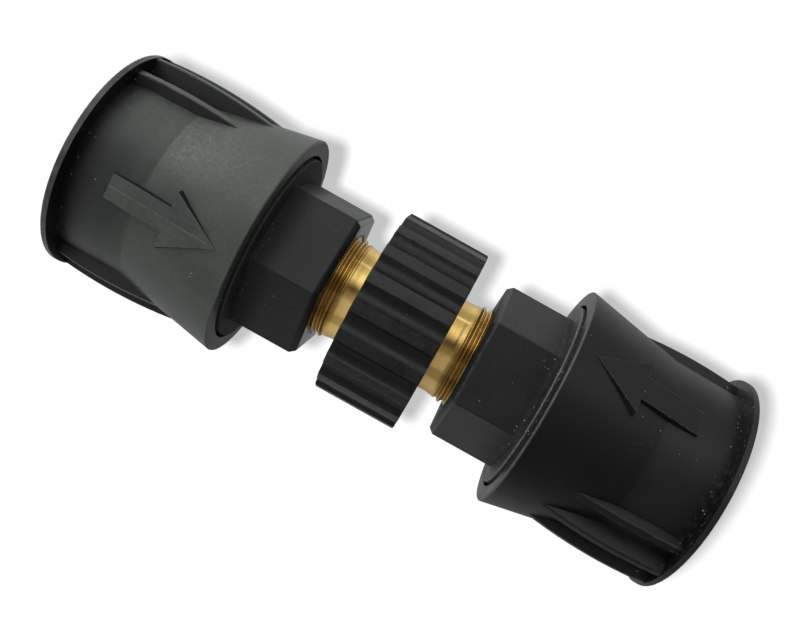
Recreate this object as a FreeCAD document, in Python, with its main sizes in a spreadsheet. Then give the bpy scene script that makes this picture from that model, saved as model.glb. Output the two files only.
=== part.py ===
import FreeCAD, Part
import math
import os
import re
import Sketcher
from FreeCAD import Placement, Rotation, Vector

# Pressure washer quick connector in millimetres: a double nipple with a grip ring in the
# middle and a quick coupler on each end. It stands on its end, with +Z along the axis and the
# origin at the centre of the lower rim. Places along a coupler are measured outwards from the
# mid-plane, so both couplers share one set of sizes.

sizes = {
    "grip_length": 18.0,
    "grip_radius": 20.2,
    "grip_edge": 0.4,  # rounding of the grip's end edges
    "scoop_count": 20,
    "scoop_depth": 1.1,
    "scoop_width": 4.0,
    "grip_turn": 4.1,  # degrees about the axis
    "nipple_hex": 23.0,  # across flats, inside the grip
    "nipple_hex_length": 14.0,
    "mould_clearance": 0.05,  # between a moulding and the metal inside it
    "neck_radius": 10.1,
    "neck_length": 3.2,  # from the grip's end to the first thread
    "thread_radius": 10.95,  # crest of M22
    "thread_clearance": 0.1,
    "thread_lead_in": 0.8,
    "exposed_length": 6.5,  # brass seen between grip and hex body
    "end_gap": 0.1,  # nipple's end to the bottom of its threaded hole
    "flow_radius": 4.0,
    "seat_radius": 7.1,  # 14 mm seat
    "seat_depth": 14.4,
    "hex_flats": 30.0,
    "hex_length": 14.8,
    "hex_corner": 0.45,  # rounding of the hexagon's edges
    "hex_chamfer": 0.9,  # along the axis
    "hex_chamfer_rise": 1.2,  # towards the axis
    "thread_depth": 10.5,
    "flange_margin": 3.05,  # beyond the spring
    "flange_thickness": 3.5,
    "flange_edge": 0.3,
    "boss_wall": 2.85,
    "boss_length": 4.0,
    "dog_length": 9.2,
    "dog_angle": 40.0,
    "dog_clearance": 0.35,
    "dog_play": 4.0,  # degrees that a slot is wider than its dog
    "anchor_inset": 0.3,
    "anchor_thickness": 2.9,
    "anchor_rise": 0.9,
    "nose_clearance": 0.15,
    "nose_length": 12.5,
    "nose_chamfer": 0.5,
    "nose_seal_inset": 4.7,
    "nose_seal_section": 0.98,  # radius of the ring's own section
    "root_rise": 1.5,
    "seal_clearance": 0.03,
    "groove_play": 0.1,
    "core_radius": 11.15,
    "core_flow_radius": 3.5,
    "core_lip": 1.9,
    "plug_bore_radius": 5.05,
    "plug_bore_length": 12.0,
    "socket_groove_inset": 2.0,
    "socket_seal_section": 0.95,
    "nose_relief": 0.9,  # of the bore behind the seal
    "backup_thickness": 1.2,
    "backup_clearance": 0.4,  # around the plug's bore
    "guide_wall": 2.95,  # of the core around the plug, which holds the balls
    "guide_lead": 5.0,
    "guide_chamfer": 0.8,
    "ball_radius": 2.0,
    "ball_count": 6,
    "ball_inset": 0.05,  # of a locked ball below the core's outside
    "ball_clearance": 0.05,
    "lift_clearance": 0.1,  # of a released ball beyond the guide's wall
    "pull_travel": 6.0,
    "travel_clearance": 0.2,
    "slide_clearance": 0.1,
    "land_length": 0.8,
    "run_out": 1.0,
    "spring_wire": 1.4,
    "spring_gap": 1.9,
    "spring_length": 16.2,
    "spring_turns": 5,
    "spring_clearance": 0.9,
    "spring_end_gap": 0.05,
    "washer_thickness": 1.0,
    "washer_rise": 3.45,
    "stop_gap": 0.05,
    "ring_thickness": 1.0,
    "ring_depth": 0.75,
    "ring_rise": 1.85,
    "ring_opening": 40.0,
    "flange_clearance": 0.75,
    "flange_proud": 0.7,  # of the collar's end
    "collar_wall": 3.2,
    "collar_edge": 0.4,
    "cone_length": 21.5,
    "waist_wall": 2.1,
    "waist_draft": 0.35,
    "mouth_wall": 2.65,
    "mouth_recess": 3.0,
    "rim_thickness": 1.3,
    "rim_height": 3.45,
    "rim_edge": 0.3,
    "rib_height": 3.55,
    "edge_rib_height": 2.2,
    "rib_flat": 1.0,  # across the crest
    "rib_round": 0.4,
    "rib_draft": 12.0,
    "rib_length": 28.0,
    "rib_bulge": 100.0,  # radius of the crest along the axis
    "rib_peak": 12.0,  # from the collar's end to the crest's highest place
    "rib_pitch": 17.0,  # degrees between ribs of a group
    "rib_root": 0.7,
    "arrow_inset": 4.0,
    "arrow_length": 23.5,
    "arrow_head_length": 10.8,
    "arrow_head_width": 11.2,
    "arrow_shaft_width": 5.0,
    "arrow_tip_rise": 0.2,
    "arrow_tail_rise": 0.35,
    "arrow_root": 2.4,  # from its top to its hidden foot
    "arrow_draft": 10.0,
    "upper_turn": 257.5,  # degrees about the axis, to the arrow
    "lower_turn": 60.0,
    "cut_margin": 1.0,  # by which a cut runs past what it cuts
}

document = FreeCAD.newDocument("QuickConnector")
sheet = document.addObject("Spreadsheet::Sheet", "Sizes")
for row, (name, number) in enumerate(sizes.items(), start=1):
    sheet.set(f"A{row}", name)
    sheet.set(f"B{row}", str(number))
    sheet.setAlias(f"B{row}", name)
document.recompute()

# Places along a coupler's axis, from the mid-plane outwards
grip_end = "(grip_length / 2)"
thread_start = f"({grip_end} + neck_length)"
hex_start = f"({grip_end} + exposed_length)"
bore_bottom = f"({hex_start} + thread_depth)"
nipple_end = f"({bore_bottom} - end_gap)"
seat_bottom = f"({nipple_end} - seat_depth)"
nose_tip = f"({bore_bottom} - nose_length)"
nose_seal_place = f"({nose_tip} + nose_seal_inset)"
flange_face = f"({hex_start} + hex_length)"
flange_back = f"({flange_face} + flange_thickness)"
anchor_start = f"({flange_face} - anchor_inset)"
boss_end = f"({flange_back} + boss_length)"
dog_end = f"({boss_end} + dog_length)"
pull_room = "(pull_travel + travel_clearance)"
sleeve_start = f"({boss_end} + {pull_room})"
counterbore_end = f"({flange_back} + {pull_room})"
spring_seat = f"({flange_back} + spring_length)"
slot_end = f"({dog_end} + {pull_room})"
ball_place = f"({slot_end} + land_length)"
guide_bottom = f"({ball_place} - guide_lead)"
plug_bore_bottom = f"({guide_bottom} - plug_bore_length)"
socket_groove_start = f"({plug_bore_bottom} + socket_groove_inset)"
stop_shoulder = f"({ball_place} + pull_travel + run_out)"
washer_start = f"({stop_shoulder} + stop_gap)"
ring_start = f"({washer_start} + washer_thickness + stop_gap)"
ring_groove_end = f"({ring_start} + ring_thickness + stop_gap)"
core_end = f"({ring_start} + ring_thickness + core_lip)"
half_length = f"({core_end} + mouth_recess)"
collar_start = f"({flange_face} + flange_proud)"
crease = f"({collar_start} + cone_length)"
rim_start = f"({half_length} - rim_thickness)"
rib_place = f"({half_length} - rib_peak)"
arrow_tip = f"({collar_start} + arrow_inset)"
arrow_tail = f"({arrow_tip} + arrow_length)"

# Radii, from the core outwards
nose_radius = "(seat_radius - nose_clearance)"
nose_seal_radius = "(seat_radius - seal_clearance - nose_seal_section)"
nose_groove_radius = f"({nose_seal_radius} - nose_seal_section - seal_clearance)"
root_radius = f"({nose_radius} + root_rise)"
guide_radius = "(core_radius - guide_wall)"
anchor_radius = "(core_radius + anchor_rise)"
socket_seal_radius = "(plug_bore_radius + seal_clearance + socket_seal_section)"
socket_groove_radius = f"({socket_seal_radius} + socket_seal_section + seal_clearance)"
ring_groove_radius = "(core_radius - ring_depth)"
boss_radius = "(core_radius + boss_wall)"
spring_radius = f"({boss_radius} + spring_gap + spring_wire / 2)"
spring_outside = f"({spring_radius} + spring_wire / 2)"
flange_radius = f"({spring_outside} + flange_margin)"
counterbore_radius = f"({flange_radius} + flange_clearance)"
cavity_radius = f"({spring_outside} + spring_clearance)"
collar_end_radius = f"({counterbore_radius} + collar_wall)"
crease_radius = f"({cavity_radius} + waist_wall)"
waist_radius = f"({crease_radius} - waist_draft)"
mouth_radius = f"({waist_radius} - mouth_wall)"
rim_radius = f"({waist_radius} + rim_height)"

# Ball lock: the collar's cone lets each ball out by ball_lift over the collar's travel
ball_rest = "(core_radius - ball_inset - ball_radius)"
ball_lift = f"({guide_radius} - {ball_rest} + ball_radius + lift_clearance)"
lock_slope = f"({ball_lift} / pull_travel)"
cone_offset = f"((ball_radius + ball_clearance) * sqrt(1 + {lock_slope} ^ 2))"
land_radius = "(core_radius + slide_clearance)"
cone_foot = f"({ball_place} + ({land_radius} - {ball_rest} - {cone_offset}) / {lock_slope})"
cone_mouth_radius = f"({ball_rest} + {lock_slope} * (pull_travel + run_out) + {cone_offset})"


def bound(formula):
    # A size's name in a formula stands for its cell in the sheet
    return re.sub("[a-z_]+", lambda word: "Sizes." + word[0] if word[0] in sizes else word[0], formula)


def value(formula):
    result = sheet.evalExpression(bound(formula))
    return float(getattr(result, "Value", result))


def new_body(label, frame):
    body = document.addObject("PartDesign::Body", label)
    body.Label = label
    body.Placement = frame
    body.setExpression("Placement.Base.z", bound(half_length))
    return body


def new_sketch(body, role, name):
    plane = next(item for item in body.Origin.OriginFeatures if item.Role == role)
    sketch = body.newObject("Sketcher::SketchObject", name)
    sketch.AttachmentSupport = [(plane, "")]
    sketch.MapMode = "FlatFace"
    return sketch


def place_point(sketch, element, end, across, along):
    # Ties a point to its two distances from the sketch's origin
    for kind, formula, axis in (("DistanceX", across, -2), ("DistanceY", along, -1)):
        distance = value(formula)
        if abs(distance) < 1e-9:
            sketch.addConstraint(Sketcher.Constraint("PointOnObject", element, end, axis))
            continue
        index = sketch.addConstraint(Sketcher.Constraint(kind, -1, 1, element, end, distance))
        sketch.setExpression(f"Constraints[{index}]", bound(formula))


def arc_between(start, end, radius):
    # Arc under half a turn, bending left for a positive radius and right for a negative one
    chord = end - start
    left = Vector(-chord.y, chord.x, 0).normalize()
    rise = math.copysign(math.sqrt(radius ** 2 - chord.Length ** 2 / 4), radius)
    centre = (start + end) / 2 + left * rise
    first, last = (start, end) if radius > 0 else (end, start)
    angles = [math.atan2(point.y - centre.y, point.x - centre.x) for point in (first, last)]
    circle = Part.Circle(centre, Vector(0, 0, 1), abs(radius))
    return Part.ArcOfCircle(circle, angles[0], angles[1])


def outline(sketch, corners):
    # Closed outline. A corner is (across, along), or (across, along, radius, side) where an arc
    # leads to it, with side 1 for a left bend and -1 for a right one
    points = [Vector(value(corner[0]), value(corner[1]), 0) for corner in corners]
    ends = []
    for index, corner in enumerate(corners):
        start = points[index - 1]
        if len(corner) == 2:
            element = sketch.addGeometry(Part.LineSegment(start, points[index]))
            ends.append((element, 1, 2))
            continue
        arc = arc_between(start, points[index], corner[3] * value(corner[2]))
        element = sketch.addGeometry(arc)
        ends.append((element, 1, 2) if corner[3] > 0 else (element, 2, 1))
    for index, corner in enumerate(corners):
        element, first, last = ends[index]
        before, before_first, before_last = ends[index - 1]
        sketch.addConstraint(Sketcher.Constraint("Coincident", before, before_last, element, first))
        place_point(sketch, element, last, corner[0], corner[1])
        if len(corner) > 2:
            radius = value(corner[2])
            radius_index = sketch.addConstraint(Sketcher.Constraint("Radius", element, radius))
            sketch.setExpression(f"Constraints[{radius_index}]", bound(corner[2]))


def round_outline(sketch, across, along, radius):
    centre = Vector(value(across), value(along), 0)
    element = sketch.addGeometry(Part.Circle(centre, Vector(0, 0, 1), value(radius)))
    place_point(sketch, element, 3, across, along)
    index = sketch.addConstraint(Sketcher.Constraint("Radius", element, value(radius)))
    sketch.setExpression(f"Constraints[{index}]", bound(radius))


def hexagon(sketch, flats):
    corner = f"({flats} / sqrt(3))"
    half = f"({flats} / 2)"
    outline(sketch, [
        (corner, "0"),
        (f"{corner} / 2", half),
        (f"-{corner} / 2", half),
        (f"-{corner}", "0"),
        (f"-{corner} / 2", f"-{half}"),
        (f"{corner} / 2", f"-{half}"),
    ])


def axis_line(sketch, first, second):
    # Construction line that a feature turns about
    ends = [Vector(value(across), value(along), 0) for across, along in (first, second)]
    element = sketch.addGeometry(Part.LineSegment(ends[0], ends[1]), True)
    place_point(sketch, element, 1, first[0], first[1])
    place_point(sketch, element, 2, second[0], second[1])


def turned(body, kind, sketch, name, axis="V_Axis", angle=None, back=None):
    # Revolution or Groove: a full turn, an angle shared evenly by both sides of the sketch,
    # or an angle to the front and another to the back of it
    feature = body.newObject("PartDesign::" + kind, name)
    feature.Profile = sketch
    feature.ReferenceAxis = (sketch, [axis])
    feature.Angle = 360
    if angle is not None:
        feature.Midplane = back is None
        feature.setExpression("Angle", bound(angle))
    if back is not None:
        feature.Type = "TwoAngles"
        feature.setExpression("Angle2", bound(back))
    return settled(feature, kind == "Groove")


def extruded(body, kind, sketch, name, length, symmetric=True):
    # Pad or Pocket
    feature = body.newObject("PartDesign::" + kind, name)
    feature.Profile = sketch
    feature.SideType = "Symmetric" if symmetric else "One side"
    feature.setExpression("Length", bound(length))
    return settled(feature, kind == "Pocket")


def drafted(body, sketch, name, depth, draft):
    # Pad inwards from the sketch, wider as it goes
    feature = body.newObject("PartDesign::Pad", name)
    feature.Profile = sketch
    feature.SideType = "One side"
    feature.Reversed = True
    feature.setExpression("Length", bound(depth))
    feature.setExpression("TaperAngle", bound(draft))
    return settled(feature, False)


def settled(feature, cuts):
    # Recomputes, and stops if a cut took nothing away or a lump added nothing
    document.recompute()
    base = feature.BaseFeature
    if base is not None:
        change = feature.Shape.Volume - base.Shape.Volume
        if change == 0 or cuts == (change > 0):
            raise ValueError(f"{feature.Label} changes its body by {change:.3f} mm3")
    return feature


def around(body, originals, name, count):
    pattern = body.newObject("PartDesign::PolarPattern", name)
    pattern.Originals = originals
    pattern.Axis = (next(item for item in body.Origin.OriginFeatures if item.Role == "Z_Axis"), [""])
    pattern.Angle = 360
    pattern.setExpression("Occurrences", bound(count))
    body.Tip = pattern
    document.recompute()
    return pattern


def turned_ring(label, frame, inside, outside, start, length, angle=None):
    # Flat ring between two radii
    body = new_body(label, frame)
    sketch = new_sketch(body, "XZ_Plane", "RingSection")
    end = f"({start} + {length})"
    outline(sketch, [(inside, start), (outside, start), (outside, end), (inside, end)])
    turned(body, "Revolution", sketch, "Ring", angle=angle)
    return body


def seal_ring(label, frame, radius, section, place):
    ring = document.addObject("Part::Torus", label)
    ring.Label = label
    ring.setExpression("Radius1", bound(radius))
    ring.setExpression("Radius2", bound(section))
    ring.Placement = frame.multiply(Placement(Vector(0, 0, value(place)), Rotation()))
    return ring


def brass_nipple(label, frame):
    body = new_body(label, frame)
    profile = new_sketch(body, "XZ_Plane", "NippleProfile")
    crest_edge = "(thread_radius - thread_lead_in)"
    outline(profile, [
        ("0", f"-{nipple_end}"),
        (crest_edge, f"-{nipple_end}"),
        ("thread_radius", f"-{nipple_end} + thread_lead_in"),
        ("thread_radius", f"-{thread_start}"),
        ("neck_radius", f"-{thread_start}"),
        ("neck_radius", thread_start),
        ("thread_radius", thread_start),
        ("thread_radius", f"{nipple_end} - thread_lead_in"),
        (crest_edge, nipple_end),
        ("0", nipple_end),
    ])
    turned(body, "Revolution", profile, "NippleBody")
    hex_sketch = new_sketch(body, "XY_Plane", "NippleHex")
    hexagon(hex_sketch, "nipple_hex")
    extruded(body, "Pad", hex_sketch, "NippleHexPad", "nipple_hex_length")
    bore = new_sketch(body, "XZ_Plane", "NippleBore")
    outline(bore, [
        ("0", f"-{nipple_end} - cut_margin"),
        ("seat_radius", f"-{nipple_end} - cut_margin"),
        ("seat_radius", f"-{seat_bottom}"),
        ("flow_radius", f"-{seat_bottom}"),
        ("flow_radius", seat_bottom),
        ("seat_radius", seat_bottom),
        ("seat_radius", f"{nipple_end} + cut_margin"),
        ("0", f"{nipple_end} + cut_margin"),
    ])
    turned(body, "Groove", bore, "NippleWaterway")
    return body


def grip_ring(label, frame):
    body = new_body(label, frame)
    profile = new_sketch(body, "XZ_Plane", "GripProfile")
    outline(profile, [
        ("0", f"-{grip_end}"),
        ("grip_radius - grip_edge", f"-{grip_end}"),
        ("grip_radius", f"-{grip_end} + grip_edge", "grip_edge", 1),
        ("grip_radius", f"{grip_end} - grip_edge"),
        ("grip_radius - grip_edge", grip_end, "grip_edge", 1),
        ("0", grip_end),
    ])
    turned(body, "Revolution", profile, "GripBlank")
    scoop = new_sketch(body, "XY_Plane", "GripScoop")
    scoop_radius = "((scoop_width ^ 2 / 4 + scoop_depth ^ 2) / (2 * scoop_depth))"
    round_outline(scoop, f"grip_radius - scoop_depth + {scoop_radius}", "0", scoop_radius)
    scoop_cut = extruded(body, "Pocket", scoop, "GripScoopCut", "grip_length + 2 * cut_margin")
    around(body, [scoop_cut], "GripScoops", "scoop_count")
    hex_sketch = new_sketch(body, "XY_Plane", "GripHex")
    hexagon(hex_sketch, "(nipple_hex + 2 * mould_clearance)")
    extruded(body, "Pocket", hex_sketch, "GripHexCavity", "nipple_hex_length + 2 * mould_clearance")
    neck = new_sketch(body, "XY_Plane", "GripNeck")
    round_outline(neck, "0", "0", "neck_radius + mould_clearance")
    extruded(body, "Pocket", neck, "GripNeckHole", "grip_length + 2 * cut_margin")
    return body


def edge_names(feature, place, there):
    # Names of the edges that lie at one place along the axis, or of all the others
    names = []
    for index, edge in enumerate(feature.Shape.Edges, start=1):
        level = all(abs(vertex.Point.z - place) < 1e-6 for vertex in edge.Vertexes)
        if level == there:
            names.append(f"Edge{index}")
    return names


def hex_body(label, frame):
    body = new_body(label, frame)
    hex_sketch = new_sketch(body, "XY_Plane", "BodyHex")
    hex_sketch.setExpression("AttachmentOffset.Base.z", bound(hex_start))
    hexagon(hex_sketch, "hex_flats")
    length = "hex_length + flange_thickness / 2"
    pad = extruded(body, "Pad", hex_sketch, "BodyHexPad", length, symmetric=False)
    chamfer = body.newObject("PartDesign::Chamfer", "BodyHexChamfer")
    chamfer.Base = (pad, edge_names(pad, value(hex_start), True))
    chamfer.ChamferType = "Two distances"
    chamfer.setExpression("Size", bound("hex_chamfer_rise"))
    chamfer.setExpression("Size2", bound("hex_chamfer"))
    settled(chamfer, True)
    corners = body.newObject("PartDesign::Fillet", "BodyHexCorners")
    corners.Base = (chamfer, edge_names(chamfer, value(f"{hex_start} + {length}"), False))
    corners.setExpression("Radius", bound("hex_corner"))
    settled(corners, True)

    profile = new_sketch(body, "XZ_Plane", "FlangeProfile")
    outline(profile, [
        ("0", flange_face),
        (f"{flange_radius} - flange_edge", flange_face),
        (flange_radius, f"{flange_face} + flange_edge", "flange_edge", 1),
        (flange_radius, flange_back),
        (boss_radius, flange_back),
        (boss_radius, boss_end),
        ("0", boss_end),
    ])
    turned(body, "Revolution", profile, "FlangeAndBoss")

    dog = new_sketch(body, "YZ_Plane", "DogSection")
    outline(dog, [
        ("core_radius", flange_back),
        (boss_radius, flange_back),
        (boss_radius, dog_end),
        ("core_radius", dog_end),
    ])
    tooth = turned(body, "Revolution", dog, "Dog", angle="dog_angle")
    around(body, [tooth], "Dogs", "2")

    cavity = new_sketch(body, "XZ_Plane", "BodyCavity")
    hole_radius = "(thread_radius + thread_clearance)"
    anchor_end = f"({anchor_start} + anchor_thickness + 2 * mould_clearance)"
    outline(cavity, [
        ("0", f"{hex_start} - cut_margin"),
        (f"{hole_radius} + thread_lead_in + cut_margin", f"{hex_start} - cut_margin"),
        (hole_radius, f"{hex_start} + thread_lead_in"),
        (hole_radius, bore_bottom),
        (f"{root_radius} + mould_clearance", bore_bottom),
        (f"{root_radius} + mould_clearance", anchor_start),
        (f"{anchor_radius} + mould_clearance", anchor_start),
        (f"{anchor_radius} + mould_clearance", anchor_end),
        ("core_radius + mould_clearance", anchor_end),
        ("core_radius + mould_clearance", f"{dog_end} + cut_margin"),
        ("0", f"{dog_end} + cut_margin"),
    ])
    turned(body, "Groove", cavity, "BodyHole")
    return body


def socket_core(label, frame):
    body = new_body(label, frame)
    profile = new_sketch(body, "XZ_Plane", "CoreProfile")
    nose_groove_start = f"({nose_seal_place} - nose_seal_section - groove_play)"
    nose_groove_end = f"({nose_seal_place} + nose_seal_section + groove_play)"
    anchor_low = f"({anchor_start} + mould_clearance)"
    anchor_high = f"({anchor_low} + anchor_thickness)"
    socket_groove_length = "(2 * socket_seal_section + backup_thickness + 3 * groove_play)"
    socket_groove_end = f"({socket_groove_start} + {socket_groove_length})"
    outline(profile, [
        ("core_flow_radius", nose_tip),
        (f"{nose_radius} - nose_chamfer", nose_tip),
        (nose_radius, f"{nose_tip} + nose_chamfer"),
        (nose_radius, nose_groove_start),
        (nose_groove_radius, nose_groove_start),
        (nose_groove_radius, nose_groove_end),
        (nose_radius, nose_groove_end),
        (nose_radius, bore_bottom),
        (root_radius, bore_bottom),
        (root_radius, anchor_low),
        (anchor_radius, anchor_low),
        (anchor_radius, anchor_high),
        ("core_radius", anchor_high),
        ("core_radius", ring_start),
        (ring_groove_radius, ring_start),
        (ring_groove_radius, ring_groove_end),
        ("core_radius", ring_groove_end),
        ("core_radius", core_end),
        (f"{guide_radius} + guide_chamfer", core_end),
        (guide_radius, f"{core_end} - guide_chamfer"),
        (guide_radius, guide_bottom),
        ("plug_bore_radius", guide_bottom),
        ("plug_bore_radius", socket_groove_end),
        (socket_groove_radius, socket_groove_end),
        (socket_groove_radius, socket_groove_start),
        ("plug_bore_radius + nose_relief", socket_groove_start),
        ("plug_bore_radius + nose_relief", plug_bore_bottom),
        ("core_flow_radius", plug_bore_bottom),
    ])
    turned(body, "Revolution", profile, "CoreTurned")

    # Ball seat cut by a ball-nosed drill from outside, so that the ball can't fall inwards
    seat = new_sketch(body, "XZ_Plane", "BallSeat")
    drill_radius = "(ball_radius + ball_clearance)"
    outline(seat, [
        (f"{ball_rest} - {drill_radius}", ball_place),
        (ball_rest, f"{ball_place} + {drill_radius}", drill_radius, -1),
        ("core_radius + cut_margin", f"{ball_place} + {drill_radius}"),
        ("core_radius + cut_margin", ball_place),
    ])
    axis_line(seat, (guide_radius, ball_place), ("core_radius", ball_place))
    hole = turned(body, "Groove", seat, "BallSeatCut", axis="Axis0")
    around(body, [hole], "BallSeats", "ball_count")
    return body


def release_spring(label, frame):
    body = new_body(label, frame)
    section = new_sketch(body, "XZ_Plane", "WireSection")
    wire_radius = "(spring_wire / 2)"
    round_outline(section, spring_radius, f"{flange_back} + spring_end_gap + {wire_radius}", wire_radius)
    helix = body.newObject("PartDesign::AdditiveHelix", "Coil")
    helix.Profile = section
    helix.ReferenceAxis = (section, ["V_Axis"])
    helix.HasBeenEdited = True
    helix.Mode = "height-turns-angle"
    helix.setExpression("Height", bound("spring_length - spring_wire - 2 * spring_end_gap"))
    helix.setExpression("Turns", bound("spring_turns"))
    document.recompute()
    return body


def locking_ball(label, frame, angle):
    ball = document.addObject("Part::Sphere", label)
    ball.Label = label
    ball.setExpression("Radius", bound("ball_radius"))
    out = Rotation(Vector(0, 0, 1), angle).multVec(Vector(value(ball_rest), 0, 0))
    ball.Placement = frame.multiply(Placement(out + Vector(0, 0, value(ball_place)), Rotation()))
    return ball


def collar_rib(body, name, height, angle):
    # Ridge with a flat crest and drafted sides, turned about a distant axis so that it bulges
    sketch = new_sketch(body, "XY_Plane", name + "Section")
    sketch.AttachmentOffset = Placement(Vector(0, 0, 1), Rotation(Vector(0, 0, 1), 1))
    sketch.setExpression("AttachmentOffset.Base.z", bound(rib_place))
    sketch.setExpression("AttachmentOffset.Rotation.Angle", bound(angle))
    crest = f"({crease_radius} + {height})"
    root = f"({crease_radius} - rib_root)"
    shoulder = f"({crest} - rib_round + rib_round * sin(rib_draft))"
    half_top = "(rib_flat / 2 + rib_round * cos(rib_draft))"
    half_root = f"({half_top} + ({shoulder} - {root}) * tan(rib_draft))"
    outline(sketch, [
        (root, f"-{half_root}"),
        (shoulder, f"-{half_top}"),
        (crest, "-rib_flat / 2", "rib_round", 1),
        (crest, "rib_flat / 2"),
        (shoulder, half_top, "rib_round", 1),
        (root, half_root),
    ])
    far = f"({crest} - rib_bulge)"
    axis_line(sketch, (far, "-rib_round"), (far, "rib_round"))
    rim_side = "(rib_peak - rim_thickness / 2)"
    to_rim = f"asin({rim_side} / rib_bulge)"
    to_cone = f"asin((rib_length - {rim_side}) / rib_bulge)"
    return turned(body, "Revolution", sketch, name, axis="Axis0", angle=to_cone, back=to_rim)


def release_collar(label, frame):
    body = new_body(label, frame)
    profile = new_sketch(body, "XZ_Plane", "CollarProfile")
    outline(profile, [
        ("0", collar_start),
        (f"{collar_end_radius} - collar_edge", collar_start),
        (collar_end_radius, f"{collar_start} + collar_edge", "collar_edge", 1),
        (crease_radius, crease),
        (waist_radius, rim_start),
        (rim_radius, rim_start),
        (rim_radius, f"{half_length} - rim_edge"),
        (f"{rim_radius} - rim_edge", half_length, "rim_edge", 1),
        ("0", half_length),
    ])
    turned(body, "Revolution", profile, "CollarBlank")

    # Raised arrow with drafted sides and a flat sloping top that bridges the crease
    cone_slope = f"(({collar_end_radius} - {crease_radius}) / cone_length)"
    tip_radius = f"({collar_end_radius} - {cone_slope} * arrow_inset + arrow_tip_rise)"
    tail_radius = f"({crease_radius} + arrow_tail_rise)"
    tilt = f"atan(({tip_radius} - {tail_radius}) / arrow_length)"
    arrow = new_sketch(body, "YZ_Plane", "ArrowOutline")
    arrow.AttachmentOffset = Placement(Vector(0, 1, 1), Rotation(Vector(-1, 0, 0), 1))
    arrow.setExpression("AttachmentOffset.Base.y", bound(arrow_tail))
    arrow.setExpression("AttachmentOffset.Base.z", bound(tail_radius))
    arrow.setExpression("AttachmentOffset.Rotation.Angle", bound(tilt))
    reach = f"(arrow_length / cos({tilt}))"
    shaft_end = f"({reach} - arrow_head_length)"
    outline(arrow, [
        ("0", f"-{reach}"),
        ("arrow_head_width / 2", f"-{shaft_end}"),
        ("arrow_shaft_width / 2", f"-{shaft_end}"),
        ("arrow_shaft_width / 2", "0"),
        ("-arrow_shaft_width / 2", "0"),
        ("-arrow_shaft_width / 2", f"-{shaft_end}"),
        ("-arrow_head_width / 2", f"-{shaft_end}"),
    ])
    raised = drafted(body, arrow, "Arrow", "arrow_root", "arrow_draft")

    ribs = []
    for number, steps in enumerate((-1.5, -0.5, 0.5, 1.5), start=1):
        height = "edge_rib_height" if abs(steps) > 1 else "rib_height"
        ribs.append(collar_rib(body, f"Rib{number}", height, f"90 + {steps} * rib_pitch"))
    around(body, [raised] + ribs, "BothSides", "2")

    cavity = new_sketch(body, "XZ_Plane", "CollarCavity")
    sleeve_radius = f"({boss_radius} + travel_clearance)"
    outline(cavity, [
        ("0", f"{collar_start} - cut_margin"),
        (counterbore_radius, f"{collar_start} - cut_margin"),
        (counterbore_radius, counterbore_end),
        (cavity_radius, counterbore_end),
        (cavity_radius, spring_seat),
        (sleeve_radius, spring_seat),
        (sleeve_radius, sleeve_start),
        (land_radius, sleeve_start),
        (land_radius, cone_foot),
        (cone_mouth_radius, stop_shoulder),
        (mouth_radius, stop_shoulder),
        (mouth_radius, f"{half_length} + cut_margin"),
        ("0", f"{half_length} + cut_margin"),
    ])
    turned(body, "Groove", cavity, "CollarHole")

    slot = new_sketch(body, "YZ_Plane", "SlotSection")
    slot_radius = f"({boss_radius} + dog_clearance)"
    outline(slot, [
        ("core_radius", f"{sleeve_start} - cut_margin"),
        (slot_radius, f"{sleeve_start} - cut_margin"),
        (slot_radius, slot_end),
        ("core_radius", slot_end),
    ])
    slot_cut = turned(body, "Groove", slot, "Slot", angle="dog_angle + dog_play")
    around(body, [slot_cut], "Slots", "2")
    return body


def coupler(side, frame):
    # All pieces of one quick coupler
    backup_start = f"({socket_groove_start} + 2 * groove_play + 2 * socket_seal_section)"
    seal_place = f"({socket_groove_start} + groove_play + socket_seal_section)"
    washer_outside = "core_radius + washer_rise"
    clip_outside = "core_radius + ring_rise"
    clip_start = f"({ring_start} + stop_gap / 2)"
    pieces = [
        release_collar(side + "_collar", frame),
        hex_body(side + "_hex_body", frame),
        socket_core(side + "_socket_core", frame),
        release_spring(side + "_release_spring", frame),
        turned_ring(side + "_stop_washer", frame, land_radius, washer_outside,
                    washer_start, "washer_thickness"),
        turned_ring(side + "_retaining_ring", frame, f"{ring_groove_radius} + stop_gap", clip_outside,
                    clip_start, "ring_thickness", "360 - ring_opening"),
        turned_ring(side + "_backup_ring", frame, "plug_bore_radius + backup_clearance",
                    f"{socket_groove_radius} - seal_clearance", backup_start, "backup_thickness"),
        seal_ring(side + "_socket_seal", frame, socket_seal_radius, "socket_seal_section", seal_place),
        seal_ring(side + "_nose_seal", frame, nose_seal_radius, "nose_seal_section", nose_seal_place),
    ]
    count = round(value("ball_count"))
    for number in range(count):
        pieces.append(locking_ball(f"{side}_ball_{number + 1}", frame, 360 * number / count))
    return pieces


middle = Vector(0, 0, value(half_length))
up = Vector(0, 0, 1)
half_turn = Rotation(Vector(1, 0, 0), 180)
grip_frame = Placement(middle, Rotation(up, value("grip_turn")))
upper_frame = Placement(middle, Rotation(up, value("upper_turn")))
lower_frame = Placement(middle, half_turn.multiply(Rotation(up, value("lower_turn"))))

nodes = [brass_nipple("brass_nipple", grip_frame), grip_ring("grip_ring", grip_frame)]
nodes += coupler("upper", upper_frame)
nodes += coupler("lower", lower_frame)
document.recompute()

for item in document.Objects:
    if "Invalid" in item.State or "Error" in item.State:
        raise ValueError(f"{item.Label} failed: {item.State}")
for node in nodes:
    if node.Shape.isNull() or not node.Shape.isValid() or len(node.Shape.Solids) != 1:
        raise ValueError(f"{node.Label} is not one valid solid")

os.makedirs("parts", exist_ok=True)
for node in nodes:
    node.Shape.exportStep(f"parts/{node.Label}.step")
    print(f"{node.Label}: {node.Shape.Volume:.1f} mm3")
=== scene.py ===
import math

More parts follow.
